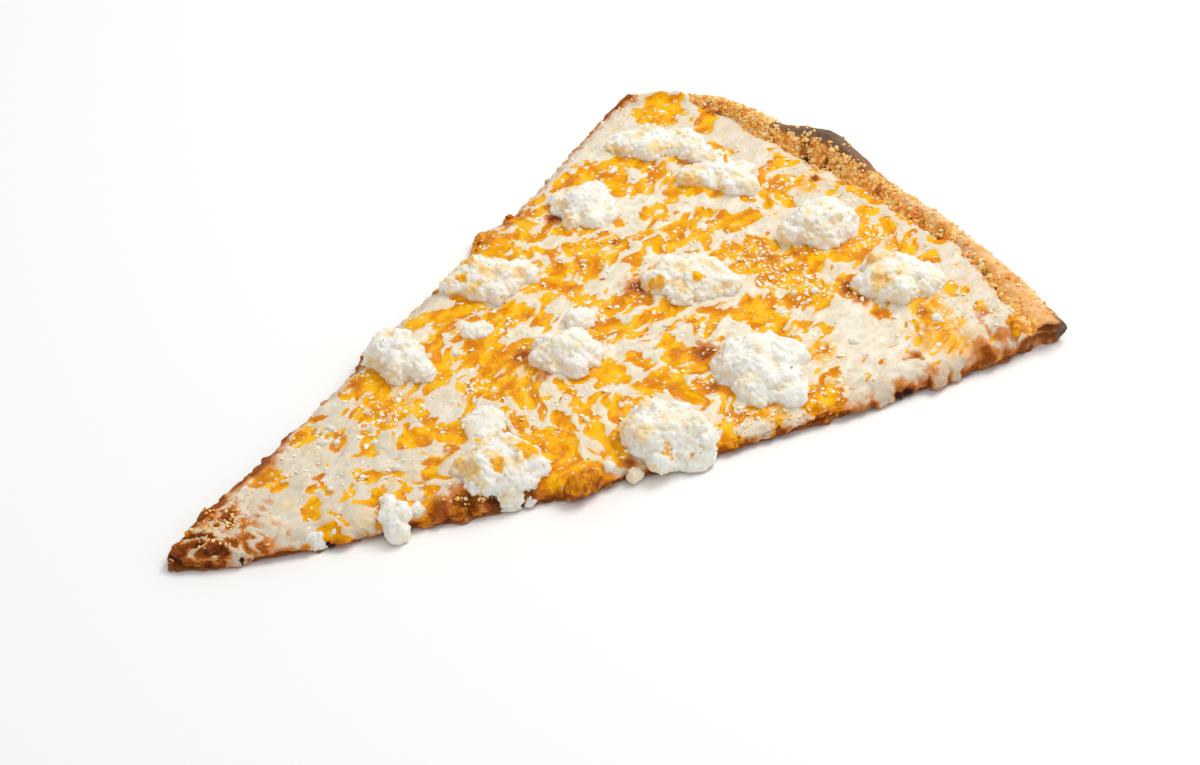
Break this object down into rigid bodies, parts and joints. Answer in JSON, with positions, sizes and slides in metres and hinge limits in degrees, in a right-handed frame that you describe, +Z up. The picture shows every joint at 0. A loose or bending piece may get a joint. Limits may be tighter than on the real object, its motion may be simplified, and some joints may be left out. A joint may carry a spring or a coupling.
{
  "type": "cheese pizza slice",
  "caption": "Thin wedge of baked pizza with a low browned rim, a marbled two-cheese layer melted over the crust and lumps of ricotta on top.",
  "frame": {"origin": "middle of the slice's bounding box, on the flat underside of the crust", "axes": "+X from the point towards the rim, +Y towards the straighter cut side, +Z up out of the cheese"},
  "size_m": [0.2249, 0.1516, 0.0147],
  "materials": {
    "crust": "baked bread crust, golden brown with charred spots, dry and matte",
    "melted_cheese": "melted cream-white mozzarella marbled with orange cheddar, softly glossy",
    "ricotta": "curdy white cheese, matte, toasted pale gold on its high spots",
    "grated_cheese": "dry grated hard cheese, cream to toasted gold"
  },
  "bodies": {
    "root": {"crust": "crust", "cheese_layer": "melted_cheese", "ricotta_01": "ricotta", "ricotta_02": "ricotta", "ricotta_03": "ricotta", "ricotta_04": "ricotta", "ricotta_05": "ricotta", "ricotta_06": "ricotta", "ricotta_07": "ricotta", "ricotta_08": "ricotta", "ricotta_09": "ricotta", "ricotta_10": "ricotta", "ricotta_11": "ricotta", "ricotta_12": "ricotta", "ricotta_13": "ricotta", "ricotta_14": "ricotta", "ricotta_15": "ricotta", "ricotta_16": "ricotta"}
  },
  "joints": []
}
